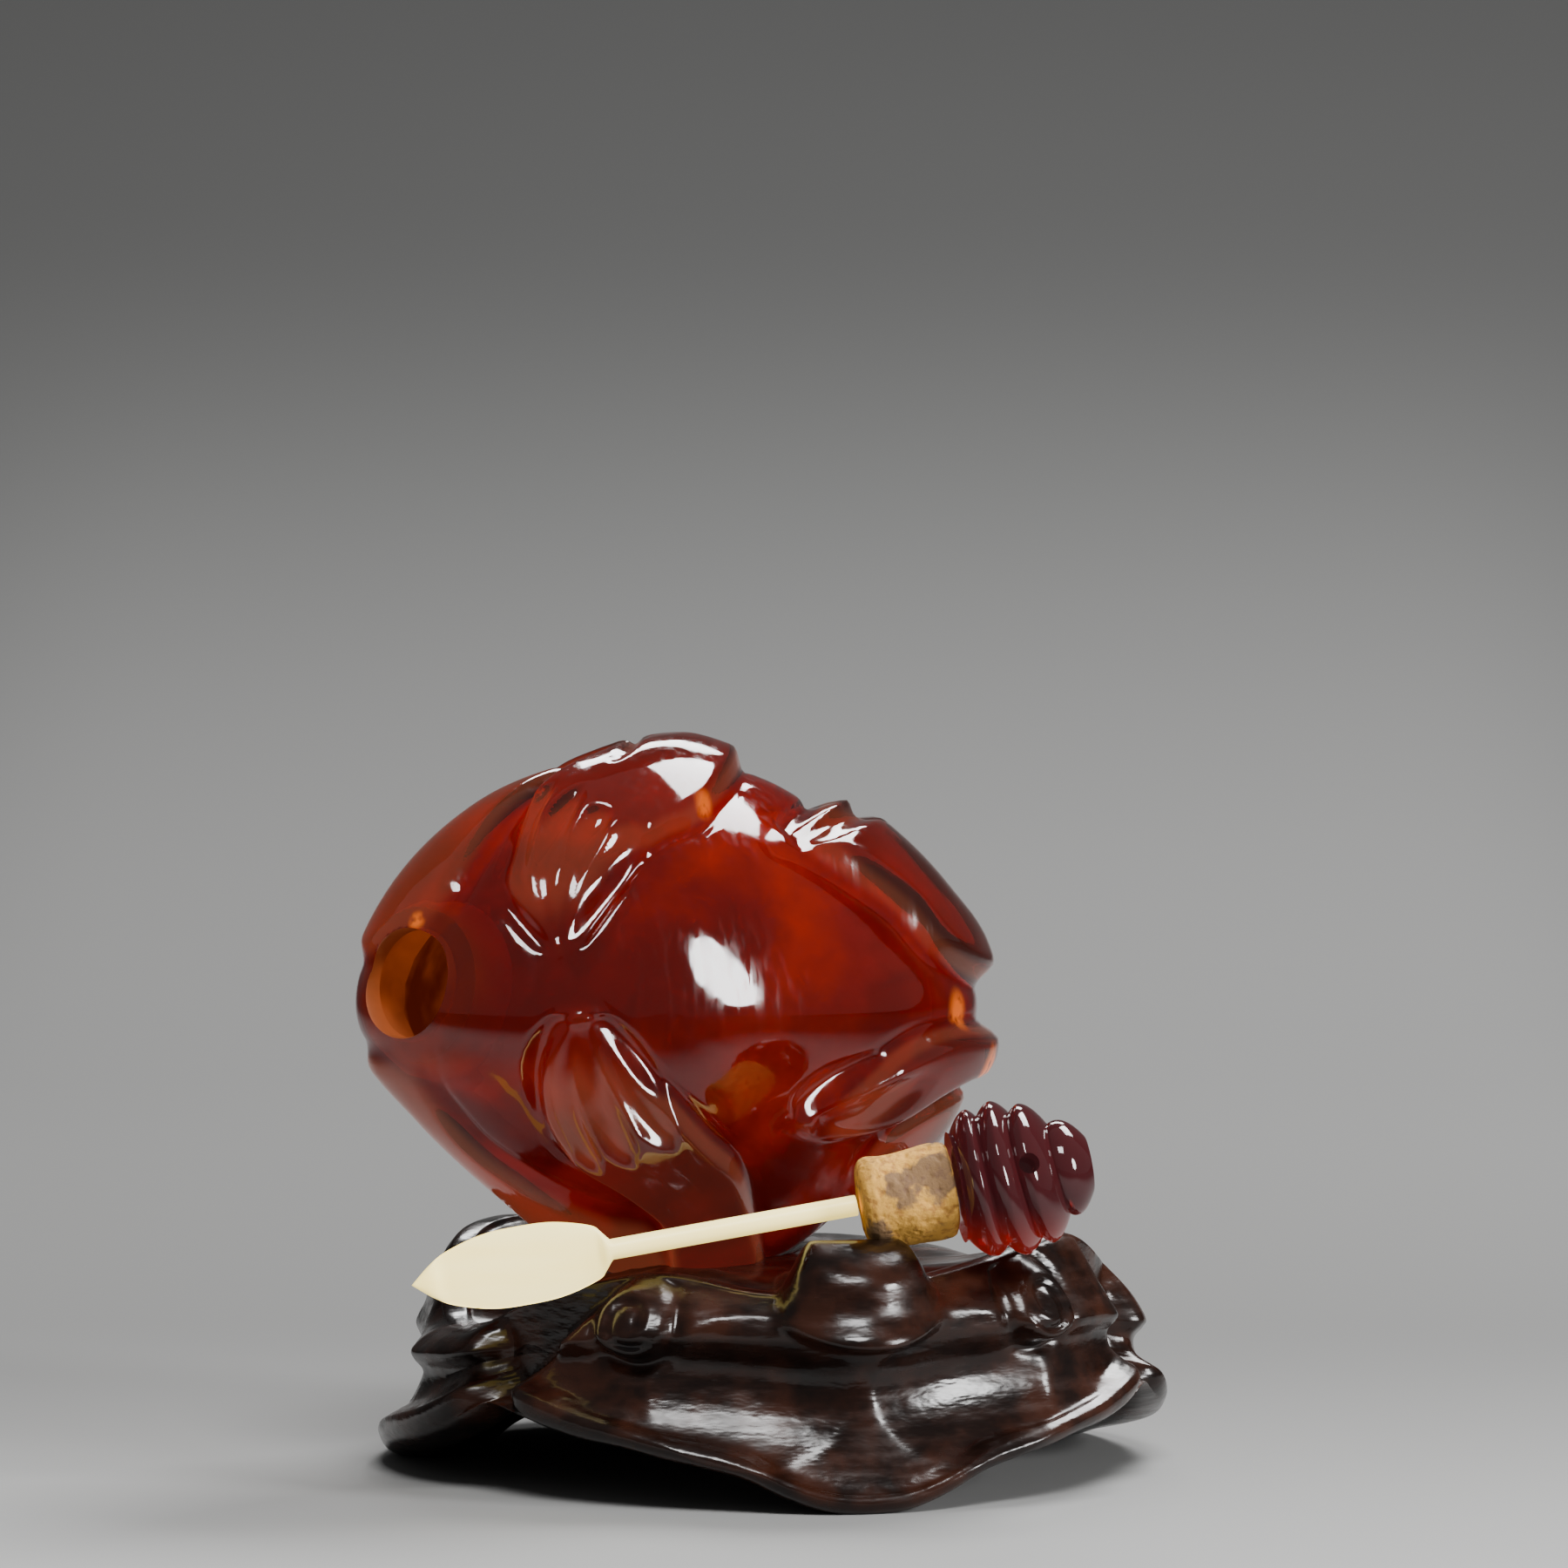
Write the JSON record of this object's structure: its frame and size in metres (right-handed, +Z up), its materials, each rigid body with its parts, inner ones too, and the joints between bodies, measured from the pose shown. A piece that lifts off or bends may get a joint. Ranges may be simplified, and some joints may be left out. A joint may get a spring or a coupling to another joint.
{
  "type": "snuff bottle",
  "caption": "Carved amber snuff bottle lying on a carved hardwood stand, its stopper, cork and bone spoon laid across the front.",
  "frame": {"origin": "middle of the base of the whole object's box, on the surface that the stand's feet touch", "axes": "+Z up, +X to the right and +Y to the back when the bottle's mouth points left and forward"},
  "size_m": [0.0642, 0.0634, 0.0583],
  "materials": {
    "amber": "polished dark amber, see-through red-brown",
    "stopper_amber": "polished dark amber, purplish red",
    "cork": "raw cork, pitted and stained",
    "bone": "smooth polished bone",
    "hardwood": "very dark stained hardwood, waxed and glossy"
  },
  "bodies": {
    "root": {"bottle": "amber", "stopper": "stopper_amber", "cork": "cork", "spoon": "bone", "stand": "hardwood"}
  },
  "joints": []
}
